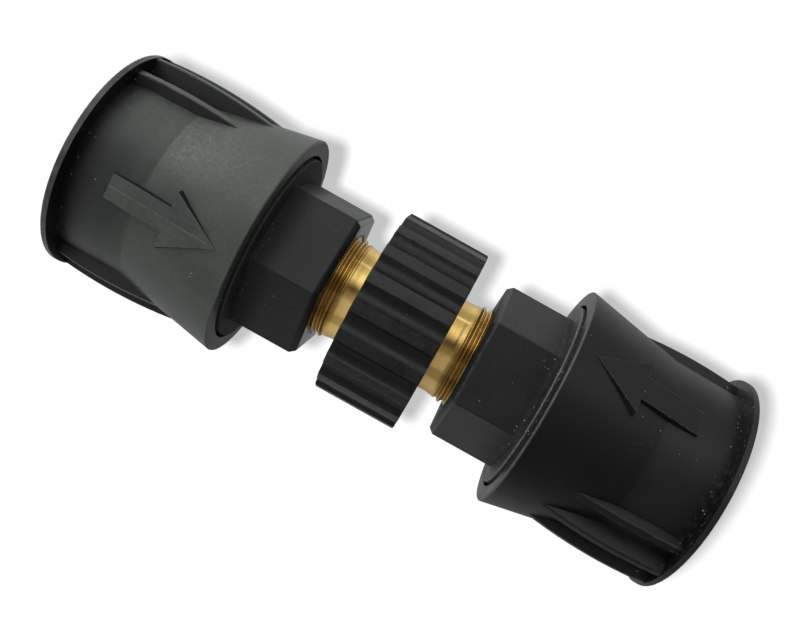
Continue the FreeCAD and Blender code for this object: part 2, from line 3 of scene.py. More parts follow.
import bmesh
import bpy
import numpy as np
from mathutils import Matrix, Vector


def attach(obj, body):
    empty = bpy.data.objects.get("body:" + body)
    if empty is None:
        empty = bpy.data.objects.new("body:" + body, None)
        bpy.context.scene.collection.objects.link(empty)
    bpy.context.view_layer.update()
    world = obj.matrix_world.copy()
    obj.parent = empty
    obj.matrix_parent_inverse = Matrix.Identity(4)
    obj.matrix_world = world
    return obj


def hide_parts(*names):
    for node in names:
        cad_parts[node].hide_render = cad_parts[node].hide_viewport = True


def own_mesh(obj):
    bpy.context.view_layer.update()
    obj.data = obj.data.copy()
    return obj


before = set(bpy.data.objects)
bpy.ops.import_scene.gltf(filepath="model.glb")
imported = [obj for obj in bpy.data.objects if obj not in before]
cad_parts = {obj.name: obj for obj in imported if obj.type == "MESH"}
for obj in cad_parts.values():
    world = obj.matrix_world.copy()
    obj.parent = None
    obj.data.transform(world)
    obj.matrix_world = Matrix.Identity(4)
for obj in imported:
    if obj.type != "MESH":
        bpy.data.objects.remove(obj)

scene = bpy.context.scene
scene.view_settings.view_transform = "Standard"
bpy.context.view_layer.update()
middle = 0.068  # height of the mid-plane; the couplers go up and down from it
sides = {"upper": 1, "lower": -1}
arrowTurn = {"upper": 257.5, "lower": 300.0}  # degrees, where the arrow faces on each collar
print("frame loaded:", len(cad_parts), "nodes")


def fill(tree, socket, given):
    # links a socket to another one, or sets it to a plain value
    if isinstance(given, bpy.types.NodeSocket):
        tree.links.new(given, socket)
    else:
        socket.default_value = given


def addNode(tree, kind, inputs=None, **settings):
    # makes a node, sets its options, then fills its sockets by name or number
    made = tree.nodes.new("ShaderNode" + kind)
    for key, setting in settings.items():
        setattr(made, key, setting)
    for key, given in (inputs or {}).items():
        fill(tree, made.inputs[key], given)
    return made


def calc(tree, operation, *terms, clamp=False):
    return addNode(tree, "Math", dict(enumerate(terms)), operation=operation, use_clamp=clamp).outputs[0]


def times(tree, *terms):
    result = terms[0]
    for term in terms[1:]:
        result = calc(tree, "MULTIPLY", result, term)
    return result


def ramp(tree, value, low, high, start=0.0, end=1.0, smooth=True):
    # start at low and end at high, level beyond them; low may be the greater one
    kind = "SMOOTHSTEP" if smooth else "LINEAR"
    inputs = {"Value": value, "From Min": low, "From Max": high, "To Min": start, "To Max": end}
    return addNode(tree, "MapRange", inputs, interpolation_type=kind).outputs[0]


def fadeNear(tree, value, place, fade, *levels):
    # a ramp between two distances from a place
    return ramp(tree, value, place + fade[0], place + fade[1], *levels)


def blend(tree, amount, first, second):
    # first where the amount is 0, second where it is 1
    return addNode(tree, "Mix", {0: amount, 2: first, 3: second}).outputs[0]


def blendColor(tree, amount, first, second):
    return addNode(tree, "Mix", {0: amount, 6: first, 7: second}, data_type="RGBA").outputs[2]


def noise(tree, place, scale, detail=2.0, rough=0.5):
    inputs = {"Vector": place, "Scale": scale, "Detail": detail, "Roughness": rough}
    return addNode(tree, "TexNoise", inputs).outputs[0]


def stretch(tree, place, scale):
    return addNode(tree, "Mapping", {"Vector": place, "Scale": scale}).outputs[0]


def straight(tree, along, place, radius, slope):
    # radius + slope * (along - place)
    return calc(tree, "MULTIPLY_ADD", calc(tree, "SUBTRACT", along, place), slope, radius)


def fromAxis(tree, place):
    # distance from the connector's axis: the length of the place with its height left out
    level = addNode(tree, "VectorMath", {0: place, 1: (1, 1, 0)}, operation="MULTIPLY").outputs[0]
    return addNode(tree, "VectorMath", {0: level}, operation="LENGTH").outputs["Value"]


def reachAlong(tree, place, axis):
    # how far out a place lies along a direction, either way
    reach = addNode(tree, "VectorMath", {0: place, 1: axis}, operation="DOT_PRODUCT").outputs["Value"]
    return calc(tree, "ABSOLUTE", reach)


def newMaterial(name):
    material = bpy.data.materials.new(name)
    material.use_nodes = True
    tree = material.node_tree
    shader = tree.nodes["Principled BSDF"]
    place = addNode(tree, "TexCoord").outputs["Object"]
    return material, tree, shader, place


def setShader(tree, shader, **sockets):
    names = {"color": "Base Color", "roughness": "Roughness", "metal": "Metallic", "normal": "Normal",
             "specular": "Specular IOR Level"}
    for key, given in sockets.items():
        fill(tree, shader.inputs[names[key]], given)


def grey(level):
    return (level, level, level, 1.0)


speckLook = {"smallest": 0.25, "border": 0.5}  # shares of the biggest speck, and of a speck's own radius


def specks(tree, place, spacing, biggest, share):
    # dust: in a share of a Voronoi grid's cells, a dot of its own size
    cells = addNode(tree, "TexVoronoi", {"Vector": place, "Scale": 1 / spacing}, feature="F1")
    chance = addNode(tree, "SeparateColor", {0: cells.outputs["Color"]})
    chosen = calc(tree, "LESS_THAN", chance.outputs[0], share)
    largest = biggest / spacing
    size = ramp(tree, chance.outputs[1], 0.0, 1.0, speckLook["smallest"] * largest, largest, False)
    near = calc(tree, "SUBTRACT", 1.0, calc(tree, "DIVIDE", cells.outputs["Distance"], size), clamp=True)
    return calc(tree, "MULTIPLY", chosen, ramp(tree, near, 0.0, speckLook["border"]))


hairWave = {"Detail": 1.5, "Roughness": 0.5, "Distortion": 1.2}


def hairLines(tree, place, scale, width, amount):
    # curly scratches: where a warped noise passes through its middle value
    wave = addNode(tree, "TexNoise", {"Vector": place, "Scale": scale, **hairWave}).outputs[0]
    off = calc(tree, "ABSOLUTE", calc(tree, "SUBTRACT", wave, 0.5))
    return calc(tree, "MULTIPLY", ramp(tree, off, width, 0.0), amount)


topLevel = 4.0  # highest level of a ring, because a colour ramp itself holds 0 to 1


def levelsRound(tree, share, levels):
    # a level that changes with an angle from -180 to 180 degrees, given as a share of the turn
    ring = addNode(tree, "ValToRGB", {0: share})
    stops = ring.color_ramp.elements
    for angle, level in list(levels.items())[1:-1]:
        stops.new((angle + 180) / 360).color = grey(level / topLevel)
    stops[0].color = grey(levels[-180] / topLevel)
    stops[-1].color = grey(levels[180] / topLevel)
    return calc(tree, "MULTIPLY", ring.outputs[0], topLevel)


def bumped(tree, height, distance, strength):
    return addNode(tree, "Bump", {"Height": height, "Distance": distance, "Strength": strength}).outputs[0]


# shares of the pale colour by place, where rubbing is mixed with painted light and shade, then dust and
# scratches
collarLook = {
    "upper": {
        "black": (0.0048, 0.0052, 0.0049, 1), "pale": (0.076, 0.083, 0.074, 1),
        "cone": 0.46, "coneTopLight": 0.1, "coneStartTopLight": 0.2, "soft": 0.001,
        "waist": 0.19, "waistTopLight": 0.38, "waistLowLight": 0.06, "waistInner": 0.1,
        "arrow": 0.5, "ribWearAndLight": 0.11, "ribUpLight": 0.72, "rim": 0.5, "endEdgeHighlight": 0.3,
        "patch": (0.0121, -0.0173, 0.1160), "patchPale": (0.24, 0.24, 0.19, 1), "patchBase": 0.14,
        "hairs": 0.7, "edge": 0.25, "seam": 0.45, "cornerDust": 0.4, "few": 0.12, "smear": 0.0,
    },
    "lower": {
        "black": (0.0037, 0.0041, 0.0040, 1), "pale": (0.05, 0.052, 0.049, 1),
        "cone": 0.0, "coneTopLight": 0.0, "coneStartTopLight": 0.0, "soft": 0.003,
        "waist": 0.08, "waistTopLight": -0.07, "waistLowLight": 0.0, "waistInner": 0.0,
        "arrow": 0.03, "ribWearAndLight": 0.0, "ribUpLight": 0.25, "rim": 0.2, "endEdgeHighlight": 0.9,
        "patch": (0.0150, -0.0120, 0.0225), "patchPale": (0.035, 0.036, 0.034, 1), "patchBase": 0.05,
        "hairs": 0.4, "edge": 0.35, "seam": 0.0, "cornerDust": 1.2, "few": 0.02, "smear": 0.45,
    },
}
# outline of a collar in metres: places along the axis from the mid-plane, and the radius there
collarShape = {"start": 0.0314, "startRadius": 0.0243, "crease": 0.0525, "creaseRadius": 0.0203,
               "rim": 0.0667, "waistRadius": 0.01995, "rimRadius": 0.0234}
arrowShape = {"tip": 0.035, "tipRadius": 0.0237558, "tail": 0.0585, "tailRadius": 0.02065,
              "headLength": 0.0108, "headHalf": 0.0056, "shaftHalf": 0.0025}
# noises as scale, detail and roughness
collarGrain = {"cloudy": (90.0, 4.0, 0.6), "blotch": (320.0, 3.0, 0.65), "fine": (1500.0, 3.0, 0.7),
               "hairField": (240.0, 2.0, 0.5), "smear": (700.0, 4.0, 0.7), "tooth": (6000.0, 2.0, 0.6)}
# places or distances in metres between which a mark fades in, the first where there is none of it
collarFade = {
    "raised": (0.00003, 0.00008), "arrowTop": (0.00006, 0.00003), "arrowSide": (0.0004, 0.0002),
    "arrowTip": (-0.0004, -0.0002), "cone": (0.0003, 0.0), "top": (0.001, 0.013), "low": (-0.004, -0.010),
    "waist": (0.0008, 0.0062), "waistInner": (0.008, 0.013), "coneStartTopLight": (0.044, 0.034),
    "ribEnd": (0.0002, 0.0010), "rimRadius": (-0.0002, -0.0001), "rimPlace": (0.0, 0.0001),
    "endPlace": (0.0001, -0.0001), "endRadius": (-0.0008, -0.0003), "patch": (0.0135, 0.003),
    "corner": (-0.0032, -0.0003), "cornerEnd": (0.0001, 0.0), "edge": (0.00018, 0.00006),
    "seam": (0.00012, 0.00003),
}
# how a noise breaks up each mark: from, to and the levels there, which are 0 and 1 where none are given
collarBreak = {
    "share": (0.25, 0.75, 0.8, 1.15), "shareFine": (0.3, 0.7, 0.85, 1.15),
    "rimWearAndHighlight": (0.3, 0.7, 0.55, 1.25), "endEdgeHighlight": (0.3, 0.6, 0.6, 1.1), "hairs": (0.46, 0.55),
    "fineHairs": (0.46, 0.56), "patch": (0.3, 0.7, 0.6, 1.4), "stray": (0.55, 0.7),
    "strayBlotch": (0.45, 0.6), "dust": (0.4, 0.55), "smear": (0.5, 0.7), "edge": (0.45, 0.6, 0.1, 1.0),
    "seam": (0.4, 0.6, 0.0, 1.0), "roughness": (0.3, 0.7, 0.36, 0.44),
}
# scratches as scale, width and amount; specks as spacing and the biggest one; ribs painted lighter by how far
# they face up
collarMarks = {"hairs": (170.0, 0.005, 1.0), "fineHairs": (330.0, 0.009, 0.6), "stray": (240.0, 0.006, 0.5),
               "few": (0.0024, 0.00017), "many": (0.0007, 0.00014), "manyShare": 0.008, "ribUpLightRange": (0.1, 0.8),
               "dustCorner": 0.5, "dustElsewhere": 0.45, "borderFrom": 0.3, "shareRough": 0.12,
               "strayGrey": 0.1, "smearGrey": 0.045, "dustGrey": 0.45, "edgeGrey": 0.11, "seamGrey": 0.16,
               "bump": (0.00003, 0.35)}


def findOnCollar(tree, place, side):
    # where on the collar a place lies, and whether it is raised above the turned surface;
    # what is raised is the arrow's flat top, or else its walls and the ribs
    shape, arrow, fade = collarShape, arrowShape, collarFade
    turn = math.radians(arrowTurn[side])
    facing = (math.cos(turn), math.sin(turn), 0)
    across = (-math.sin(turn), math.cos(turn), 0)
    spot = {"place": place, "xyz": addNode(tree, "SeparateXYZ", {0: place}).outputs}
    fromMiddle = calc(tree, "SUBTRACT", spot["xyz"][2], middle)
    along = spot["along"] = calc(tree, "MULTIPLY", fromMiddle, float(sides[side]))
    spot["radius"] = fromAxis(tree, place)
    outward = reachAlong(tree, place, facing)
    offArrow = spot["offArrow"] = reachAlong(tree, place, across)
    for name in ("cloudy", "blotch", "fine"):
        spot[name] = noise(tree, place, *collarGrain[name])

    coneSlope = (shape["creaseRadius"] - shape["startRadius"]) / (shape["crease"] - shape["start"])
    waistSlope = (shape["waistRadius"] - shape["creaseRadius"]) / (shape["rim"] - shape["crease"])
    turned = calc(tree, "MAXIMUM", straight(tree, along, shape["start"], shape["startRadius"], coneSlope),
                  straight(tree, along, shape["crease"], shape["creaseRadius"], waistSlope))
    spot["raised"] = ramp(tree, calc(tree, "SUBTRACT", spot["radius"], turned), *fade["raised"])
    topSlope = (arrow["tailRadius"] - arrow["tipRadius"]) / (arrow["tail"] - arrow["tip"])
    top = straight(tree, along, arrow["tip"], arrow["tipRadius"], topSlope)
    belowTop = calc(tree, "SUBTRACT", top, outward)
    spot["nearArrow"] = times(tree, fadeNear(tree, offArrow, arrow["headHalf"], fade["arrowSide"]),
                              fadeNear(tree, along, arrow["tip"], fade["arrowTip"]),
                              fadeNear(tree, along, arrow["tail"], fade["arrowSide"]))
    spot["onTop"] = times(tree, ramp(tree, belowTop, *fade["arrowTop"]), spot["nearArrow"])
    spot["cone"] = fadeNear(tree, along, shape["crease"], fade["cone"])
    spot["headLength"] = arrow["headLength"] * math.cos(math.atan(topSlope))
    return spot


def rubCollar(tree, spot, look):
    # the cone is rubbed pale, the waist less so, the walls and ribs hardly; painted light and shade change
    # the upper and lower sides, painted shade darkens the waist by the rim, and the ribs are painted lighter
    # where they face up
    shape, fade, broken = collarShape, collarFade, collarBreak
    along, radius, blotch = spot["along"], spot["radius"], spot["blotch"]
    fromRim = calc(tree, "SUBTRACT", shape["rim"], along)
    # painted light and shade: the upper and lower sides of the cone and waist are made paler or darker by how
    # the light falls there
    top = ramp(tree, spot["xyz"][0], *fade["top"])
    low = ramp(tree, spot["xyz"][0], *fade["low"])
    waist = calc(tree, "MULTIPLY_ADD", low, look["waistLowLight"], look["waist"])
    waist = calc(tree, "MULTIPLY_ADD", top, look["waistTopLight"], waist)
    # painted shade: the waist darkens towards the rim, which shades it, and pales further from it
    outer = ramp(tree, fromRim, *fade["waist"])
    inner = calc(tree, "MULTIPLY", ramp(tree, fromRim, *fade["waistInner"]), look["waistInner"])
    waist = calc(tree, "MULTIPLY_ADD", waist, outer, inner)
    rubbed = calc(tree, "MULTIPLY_ADD", top, look["coneTopLight"], look["cone"])
    # painted light: the upper side of the cone by its large end is paler still
    startTopLight = times(tree, top, ramp(tree, along, *fade["coneStartTopLight"]))
    rubbed = calc(tree, "MULTIPLY_ADD", startTopLight, look["coneStartTopLight"], rubbed)
    wander = calc(tree, "SUBTRACT", blotch, 0.5)
    toWaist = calc(tree, "MULTIPLY_ADD", wander, 2 * look["soft"], along)
    border = (-collarMarks["borderFrom"] * look["soft"], look["soft"])
    surface = blend(tree, fadeNear(tree, toWaist, shape["crease"], border), rubbed, waist)

    # painted light: the ribs are paler the more they face up towards the light, except by the arrow; their
    # base share is rubbing
    normal = addNode(tree, "NewGeometry").outputs["Normal"]
    upward = addNode(tree, "SeparateXYZ", {0: normal}).outputs[0]
    ribWearAndLight = calc(tree, "MULTIPLY_ADD", ramp(tree, upward, *collarMarks["ribUpLightRange"]), look["ribUpLight"], look["ribWearAndLight"])
    ribWearAndLight = times(tree, ribWearAndLight, ramp(tree, fromRim, *fade["ribEnd"]),
                calc(tree, "SUBTRACT", 1.0, spot["nearArrow"]))
    proud = blend(tree, spot["onTop"], ribWearAndLight, look["arrow"])
    share = blend(tree, calc(tree, "MAXIMUM", spot["raised"], spot["onTop"]), surface, proud)
    share = times(tree, share, ramp(tree, spot["cloudy"], *broken["share"]),
                  ramp(tree, spot["fine"], *broken["shareFine"]))
    # the rim's outer face is worn pale in patches and also carries a painted highlight
    rimWearAndHighlight = times(tree, fadeNear(tree, radius, shape["rimRadius"], fade["rimRadius"]),
                    fadeNear(tree, along, shape["rim"], fade["rimPlace"]),
                    ramp(tree, blotch, *broken["rimWearAndHighlight"]))
    # painted highlight along the outer edge of the cone's large end
    endEdgeHighlight = times(tree, fadeNear(tree, along, shape["start"], fade["endPlace"]),
                    fadeNear(tree, radius, shape["startRadius"], fade["endRadius"]),
                    ramp(tree, blotch, *broken["endEdgeHighlight"]))
    share = calc(tree, "MULTIPLY_ADD", endEdgeHighlight, look["endEdgeHighlight"], share)
    return calc(tree, "MAXIMUM", share, calc(tree, "MULTIPLY", rimWearAndHighlight, look["rim"]))


def scratchCollar(tree, spot, look, color):
    # one patch of the cone is rubbed hardest, with fine curly scratches; a few stray ones lie elsewhere
    place, blotch, broken, marks = spot["place"], spot["blotch"], collarBreak, collarMarks
    reach = addNode(tree, "VectorMath", {0: place, 1: look["patch"]}, operation="DISTANCE").outputs["Value"]
    patch = times(tree, ramp(tree, reach, *collarFade["patch"]), spot["cone"],
                  calc(tree, "SUBTRACT", 1.0, spot["raised"]))
    hairs = times(tree, hairLines(tree, place, *marks["hairs"]), ramp(tree, blotch, *broken["hairs"]))
    fineHairs = hairLines(tree, place, *marks["fineHairs"])
    field = ramp(tree, noise(tree, place, *collarGrain["hairField"]), *broken["fineHairs"])
    hairs = calc(tree, "MAXIMUM", hairs, times(tree, fineHairs, field))
    low, high, least, most = broken["patch"]
    base = ramp(tree, spot["fine"], low, high, least * look["patchBase"], most * look["patchBase"])
    worn = times(tree, patch, calc(tree, "MULTIPLY_ADD", hairs, look["hairs"], base))
    color = blendColor(tree, worn, color, look["patchPale"])
    stray = times(tree, hairLines(tree, place, *marks["stray"]), ramp(tree, spot["cloudy"], *broken["stray"]),
                  ramp(tree, blotch, *broken["strayBlotch"]))
    return blendColor(tree, stray, color, grey(marks["strayGrey"]))


def dustCollar(tree, spot, look, color):
    # dust, thickest in the corner by the rim, where it is also smeared
    place, along, broken, marks = spot["place"], spot["along"], collarBreak, collarMarks
    corner = fadeNear(tree, along, collarShape["rim"], collarFade["corner"], 0.0, look["cornerDust"])
    corner = times(tree, corner, fadeNear(tree, along, collarShape["rim"], collarFade["cornerEnd"]))
    few = specks(tree, place, *marks["few"], look["few"])
    thick = times(tree, corner, ramp(tree, spot["blotch"], *broken["dust"]))
    many = specks(tree, place, *marks["many"], calc(tree, "ADD", marks["manyShare"], thick))
    dust = calc(tree, "MAXIMUM", few, many)
    streaks = ramp(tree, noise(tree, place, *collarGrain["smear"]), *broken["smear"])
    color = blendColor(tree, times(tree, corner, streaks, look["smear"]), color, grey(marks["smearGrey"]))
    bright = calc(tree, "MULTIPLY_ADD", corner, marks["dustCorner"], marks["dustElsewhere"], clamp=True)
    return blendColor(tree, times(tree, dust, bright), color, grey(marks["dustGrey"]))


def edgeArrow(tree, spot, look, color):
    # the arrow's top edges carry a thin painted highlight, and a faint mould line runs down its middle
    arrow, fade, broken, marks = arrowShape, collarFade, collarBreak, collarMarks
    along, offArrow, onTop = spot["along"], spot["offArrow"], spot["onTop"]
    headBack = arrow["tip"] + spot["headLength"]
    headSlope = arrow["headHalf"] / spot["headLength"]
    head = calc(tree, "LESS_THAN", along, headBack)
    toSide = calc(tree, "SUBTRACT", straight(tree, along, arrow["tip"], 0.0, headSlope), offArrow)
    onShaft = calc(tree, "LESS_THAN", offArrow, arrow["shaftHalf"])
    onShaft = calc(tree, "MULTIPLY", onShaft, 0.01)  # far more than any distance here
    toBack = calc(tree, "ADD", calc(tree, "SUBTRACT", headBack, along), onShaft)
    headEdge = calc(tree, "MINIMUM", toSide, toBack)
    toShaftSide = calc(tree, "SUBTRACT", arrow["shaftHalf"], offArrow)
    shaftEdge = calc(tree, "MINIMUM", toShaftSide, calc(tree, "SUBTRACT", arrow["tail"], along))
    toEdge = blend(tree, head, shaftEdge, headEdge)
    edge = times(tree, onTop, ramp(tree, toEdge, *fade["edge"]), ramp(tree, spot["fine"], *broken["edge"]))
    seam = times(tree, onTop, ramp(tree, offArrow, *fade["seam"]),
                 ramp(tree, spot["blotch"], *broken["seam"]))
    color = blendColor(tree, calc(tree, "MULTIPLY", edge, look["edge"]), color, grey(marks["edgeGrey"]))
    return blendColor(tree, calc(tree, "MULTIPLY", seam, look["seam"]), color, grey(marks["seamGrey"]))


def makeCollarPlastic(side):
    look, marks = collarLook[side], collarMarks
    material, tree, shader, place = newMaterial(side + "CollarPlastic")
    spot = findOnCollar(tree, place, side)
    share = rubCollar(tree, spot, look)
    color = blendColor(tree, share, look["black"], look["pale"])
    color = scratchCollar(tree, spot, look, color)
    color = dustCollar(tree, spot, look, color)
    color = edgeArrow(tree, spot, look, color)
    normal = bumped(tree, noise(tree, place, *collarGrain["tooth"]), *marks["bump"])
    roughness = calc(tree, "ADD", ramp(tree, spot["cloudy"], *collarBreak["roughness"]),
                     calc(tree, "MULTIPLY", share, marks["shareRough"]))
    setShader(tree, shader, color=color, roughness=roughness, normal=normal, specular=0.5)
    return material


# places in metres from the mid-plane, flange radii, and amounts for each side
hexLook = {
    "black": (0.0054, 0.0057, 0.0056, 1), "pale": (0.0092, 0.0096, 0.0094, 1),
    "root": 0.0303, "flange": 0.0185, "flangeEdge": 0.02035, "chamfer": 0.0164,
    "edge": {"upper": 0.2, "lower": 0.9}, "rootRough": {"upper": 0.3, "lower": 0.05},
    "chamferRough": {"upper": -0.28, "lower": 0.0}, "rootDust": {"upper": 0.3, "lower": 1.5},
    "haze": {"upper": 0.0, "lower": 0.35}, "lipHighlight": {"upper": 0.1, "lower": 0.6},
    "few": {"upper": 0.12, "lower": 0.3}, "many": {"upper": 0.01, "lower": 0.035},
    "hazeGrey": 0.042, "edgeGrey": 0.1, "lipHighlightGrey": 0.06, "dustGrey": 0.33, "scratchGrey": 0.06,
    "dustRoot": 0.25, "dustElsewhere": 0.45, "bump": (0.00004, 0.6),
}
hexGrain = {"cloudy": (140.0, 3.0, 0.55), "blotch": (420.0, 3.0, 0.6), "grain": (1800.0, 3.0, 0.7),
            "tooth": (5200.0, 3.0, 0.65)}
hexFade = {"nearRoot": (-0.006, -0.001), "haze": (-0.0014, -0.0002), "flange": (0.0, 0.0004),
           "edgeRadius": (-0.00025, -0.00010), "edgePlace": (0.0004, 0.0002), "lipHighlight": (0.00028, 0.00006),
           "root": (-0.0030, -0.0003), "nearBrass": (0.0001, -0.0001)}
hexBreak = {"tone": (0.3, 0.7, 0.0, 0.4), "toneFine": (0.3, 0.7, 0.0, 0.6), "haze": (0.3, 0.6, 0.6, 1.0),
            "edge": (0.35, 0.6, 0.4, 1.0), "lipHighlight": (0.4, 0.6, 0.15, 1.0), "dust": (0.36, 0.54),
            "scratch": (0.5, 0.65), "roughness": (0.3, 0.7, 0.45, 0.50)}
hexMarks = {"few": (0.0024, 0.00016), "many": (0.0006, 0.00016), "scratch": (200.0, 0.005, 0.3)}


def makeHexPlastic(side):
    look, fade, broken, marks = hexLook, hexFade, hexBreak, hexMarks
    material, tree, shader, place = newMaterial(side + "HexPlastic")
    height = addNode(tree, "SeparateXYZ", {0: place}).outputs[2]
    along = calc(tree, "ABSOLUTE", calc(tree, "SUBTRACT", height, middle))
    radius = fromAxis(tree, place)
    cloudy = noise(tree, place, *hexGrain["cloudy"])
    blotch = noise(tree, place, *hexGrain["blotch"])
    grain = noise(tree, place, *hexGrain["grain"])
    tone = calc(tree, "ADD", ramp(tree, cloudy, *broken["tone"]), ramp(tree, grain, *broken["toneFine"]))
    color = blendColor(tree, tone, look["black"], look["pale"])

    # the corner by the flange is hazy on the lower body, as the flange is there;
    # the flange's edge and the chamfer's edge get thin painted highlights
    nearRoot = fadeNear(tree, along, look["root"], fade["nearRoot"])
    hazy = calc(tree, "MAXIMUM", fadeNear(tree, along, look["root"], fade["haze"]),
                fadeNear(tree, radius, look["flange"], fade["flange"]))
    haze = times(tree, hazy, ramp(tree, blotch, *broken["haze"]), look["haze"][side])
    color = blendColor(tree, haze, color, grey(look["hazeGrey"]))
    # painted highlight along the flange's edge
    edge = times(tree, fadeNear(tree, radius, look["flangeEdge"], fade["edgeRadius"]),
                 fadeNear(tree, along, look["root"], fade["edgePlace"]),
                 ramp(tree, grain, *broken["edge"]), look["edge"][side])
    color = blendColor(tree, edge, color, grey(look["edgeGrey"]))
    # painted highlight along the chamfer's edge
    toLip = calc(tree, "ABSOLUTE", calc(tree, "SUBTRACT", along, look["chamfer"]))
    lipHighlight = times(tree, ramp(tree, toLip, *fade["lipHighlight"]), ramp(tree, grain, *broken["lipHighlight"]), look["lipHighlight"][side])
    color = blendColor(tree, lipHighlight, color, grey(look["lipHighlightGrey"]))

    # dust and scratches, with most of the dust in that corner
    root = fadeNear(tree, along, look["root"], fade["root"], 0.0, look["rootDust"][side])
    few = specks(tree, place, *marks["few"], look["few"][side])
    thick = times(tree, root, ramp(tree, blotch, *broken["dust"]))
    many = specks(tree, place, *marks["many"], calc(tree, "ADD", look["many"][side], thick))
    dust = calc(tree, "MAXIMUM", few, many)
    bright = calc(tree, "MULTIPLY_ADD", root, look["dustRoot"], look["dustElsewhere"], clamp=True)
    color = blendColor(tree, times(tree, dust, bright), color, grey(look["dustGrey"]))
    scratch = times(tree, hairLines(tree, place, *marks["scratch"]), ramp(tree, blotch, *broken["scratch"]))
    color = blendColor(tree, scratch, color, grey(look["scratchGrey"]))

    # rougher towards the flange and smoother on the chamfer by the brass, mostly on the upper body
    normal = bumped(tree, noise(tree, place, *hexGrain["tooth"]), *look["bump"])
    nearBrass = fadeNear(tree, along, look["chamfer"], fade["nearBrass"])
    roughness = ramp(tree, cloudy, *broken["roughness"])
    roughness = calc(tree, "MULTIPLY_ADD", nearRoot, look["rootRough"][side], roughness)
    roughness = calc(tree, "MULTIPLY_ADD", nearBrass, look["chamferRough"][side], roughness)
    setShader(tree, shader, color=color, roughness=roughness, normal=normal, specular=0.5)
    return material


gripLook = {"black": (0.0035, 0.0039, 0.0038, 1), "pale": (0.0125, 0.0128, 0.0126, 1), "landRadius": 0.0202,
            "scoopDepth": 0.0011, "landFrom": 0.6, "landTo": 0.05, "dust": 0.5, "dustGrey": 0.35,
            "fewShare": 0.3, "manyShare": 0.05, "bump": (0.00003, 0.5)}
gripGrain = {"cloudy": (160.0, 3.0, 0.6), "blotch": (420.0, 3.0, 0.6), "fine": (1600.0, 3.0, 0.7),
             "tooth": (6500.0, 2.0, 0.6)}
gripBreak = {"cloudy": (0.3, 0.7, 0.35, 0.9), "fine": (0.35, 0.65, 0.4, 1.8), "dust": (0.5, 0.65, 0.0, 0.5),
             "roughness": (0.3, 0.7, 0.34, 0.46)}
gripMarks = {"few": (0.0022, 0.00014), "many": (0.0005, 0.00009)}


def makeGripPlastic():
    # black in the scoops and rubbed on the lands between them, with dust all over
    look, broken, depth = gripLook, gripBreak, gripLook["scoopDepth"]
    material, tree, shader, place = newMaterial("gripPlastic")
    radius = fromAxis(tree, place)
    land = ramp(tree, radius, look["landRadius"] - look["landFrom"] * depth,
                look["landRadius"] - look["landTo"] * depth)
    cloudy = noise(tree, place, *gripGrain["cloudy"])
    blotch = noise(tree, place, *gripGrain["blotch"])
    rubbed = calc(tree, "MULTIPLY", land, ramp(tree, cloudy, *broken["cloudy"]))
    fine = ramp(tree, noise(tree, place, *gripGrain["fine"]), *broken["fine"])
    rubbed = calc(tree, "MULTIPLY", rubbed, fine)
    color = blendColor(tree, rubbed, look["black"], look["pale"])
    few = specks(tree, place, *gripMarks["few"], look["fewShare"])
    many = specks(tree, place, *gripMarks["many"],
                  calc(tree, "ADD", look["manyShare"], ramp(tree, blotch, *broken["dust"])))
    dust = calc(tree, "MULTIPLY", calc(tree, "MAXIMUM", few, many), look["dust"])
    color = blendColor(tree, dust, color, grey(look["dustGrey"]))
    normal = bumped(tree, noise(tree, place, *gripGrain["tooth"]), *look["bump"])
    roughness = ramp(tree, cloudy, *broken["roughness"])
    setShader(tree, shader, color=color, roughness=roughness, normal=normal, specular=0.5)
    return material


# painted reflection: level of the brass colour by angle round the axis, 0 towards the camera and 90 above;
# where it is low the colour turns dark
brassReflectionBands = {-180: 0.7, -150: 0.5, -120: 0.8, -90: 0.6, -70: 0.6, -58: 0.9, -46: 0.9, -41: 0.45, -31: 0.45,
              -27: 1.0, -11: 1.0, -6: 0.35, 6: 0.3, 12: 0.9, 40: 0.9, 90: 0.7, 120: 0.5, 150: 0.8, 180: 0.7}
brassLook = {
    "bright": (1.0, 0.69, 0.24, 1), "dull": (0.80, 0.43, 0.09, 1), "dark": (0.30, 0.135, 0.02, 1),
    "pit": (0.10, 0.06, 0.02, 1), "patina": (1.0, 0.68, 0.23, 1),
    "polished": (0.12, 0.22), "tarnished": (0.28, 0.42), "metal": (0.94, 0.35), "threadMetal": 0.86,
    "threadRough": 0.4, "thread": 0.0118, "crest": 0.01090, "groove": 0.01045, "rootDarkening": 0.5,
    "stain": 0.6, "threadStain": 0.2, "pits": 0.8, "wander": 0.15, "wanderHeight": 0.002,
    "ringStretch": (0.03, 0.03, 1), "pitShare": (0.05, 0.4), "bump": (0.00001, 0.1),
}
brassGrain = {"cloudy": (260.0, 4.0, 0.6), "rings": (2600.0, 2.0, 0.6)}
brassFade = {"below": (0.001, -0.001), "thread": (0.0, 0.0006), "rootDarkening": (0.0008, 0.0014)}
brassBreak = {"stain": (0.42, 0.72), "stainRings": (0.35, 0.65, 0.4, 1.0), "smooth": (0.35, 0.7)}
brassMarks = {"pits": (0.0010, 0.00018)}


